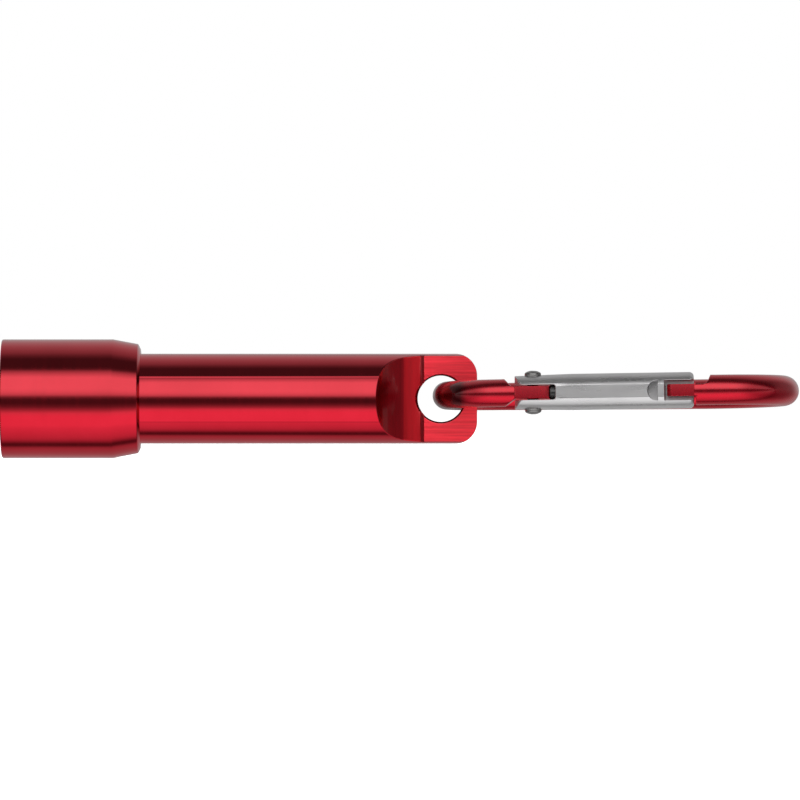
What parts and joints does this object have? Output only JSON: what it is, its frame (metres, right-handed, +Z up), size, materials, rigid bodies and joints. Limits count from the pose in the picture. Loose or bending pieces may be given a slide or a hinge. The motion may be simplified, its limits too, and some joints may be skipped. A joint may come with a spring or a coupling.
{
  "type": "keychain flashlight",
  "caption": "Small turned aluminium flashlight, switched by twisting its head, with a flat drilled tail tongue that carries a sprung carabiner.",
  "frame": {"origin": "on the resting surface under the middle of the whole part's length and width", "axes": "+X runs from the light's front to the carabiner's far bow, along the light's axis; +Z is up; the carabiner lies almost in the XY plane with its gate at -Y"},
  "size_m": [0.1274, 0.0278, 0.019],
  "materials": {
    "red_anodised": "bright red anodising on turned aluminium",
    "bare_aluminium": "tumbled bare aluminium",
    "rivet_steel": "peened steel",
    "spring_steel": "drawn spring wire",
    "seal_rubber": "satin black rubber",
    "lens_glass": "clear, polished",
    "mirror_coating": "vacuum-plated mirror",
    "led_phosphor": "ceramic with phosphor",
    "white_board": "white solder mask",
    "green_board": "green solder mask",
    "black_resin": "moulded black resin",
    "brass": "turned brass",
    "wire_insulation": "insulated leads with solder",
    "cell_steel": "nickel-plated steel",
    "cell_sleeve": "shrunk plastic sleeve, unmarked",
    "seal_nylon": "nylon"
  },
  "bodies": {
    "barrel": {"barrel": "red_anodised", "tail_spring": "spring_steel", "neck_oring": "seal_rubber"},
    "cell": {"battery_can": "cell_steel", "battery_label": "cell_sleeve", "battery_positive_cap": "cell_steel", "battery_seal": "seal_nylon"},
    "head": {"head_shell": "red_anodised", "lens_ring": "red_anodised", "front_lens": "lens_glass", "lens_seal": "seal_rubber", "reflector": "mirror_coating", "led_package": "led_phosphor", "led_dome": "lens_glass", "led_board": "white_board", "led_pill": "brass", "driver_board": "green_board", "driver_inductor": "black_resin", "driver_chips": "black_resin", "lead_wires": "wire_insulation", "contact_button": "brass", "insulator_ring": "black_resin"},
    "carabiner": {"clip_body": "red_anodised"},
    "gate": {"gate": "bare_aluminium", "gate_rivet": "rivet_steel", "gate_spring": "spring_steel"},
    "plunger": {"gate_plunger": "spring_steel"}
  },
  "joints": [
    {"name": "head_travel", "type": "slide", "parent": "barrel", "child": "cell", "axis": [-1, 0, 0], "range_m": [-0.0002, 0.00544], "deforming": ["tail_spring"]},
    {"name": "head_twist", "type": "hinge", "parent": "cell", "child": "head", "pos_m": [-0.05275, 0, 0.0095], "axis": [-1, 0, 0], "range_deg": [-90, 2448]},
    {"name": "clip_swing", "type": "hinge", "parent": "barrel", "child": "carabiner", "pos_m": [0.00645, 0, 0.0095], "axis": [0, 1, 0], "range_deg": [-150, 150]},
    {"name": "gate_swing", "type": "hinge", "parent": "carabiner", "child": "gate", "pos_m": [0.02105, -0.00992, 0.01048], "axis": [-0.014, 0.0288, 0.9995], "range_deg": [0, 28], "stiffness_Nm_per_rad": 0.06, "springref_deg": -17.19},
    {"name": "plunger_slide", "type": "slide", "parent": "gate", "child": "plunger", "axis": [0.9984, -0.0545, 0.0155], "range_m": [0, 0.000586], "deforming": ["gate_spring"]}
  ],
  "couplings": [
    {"joint": "head_twist", "follows": "head_travel", "rad_per_m": 7854},
    {"joint": "gate_swing", "follows": "plunger_slide", "rad_per_m": 833.95}
  ]
}
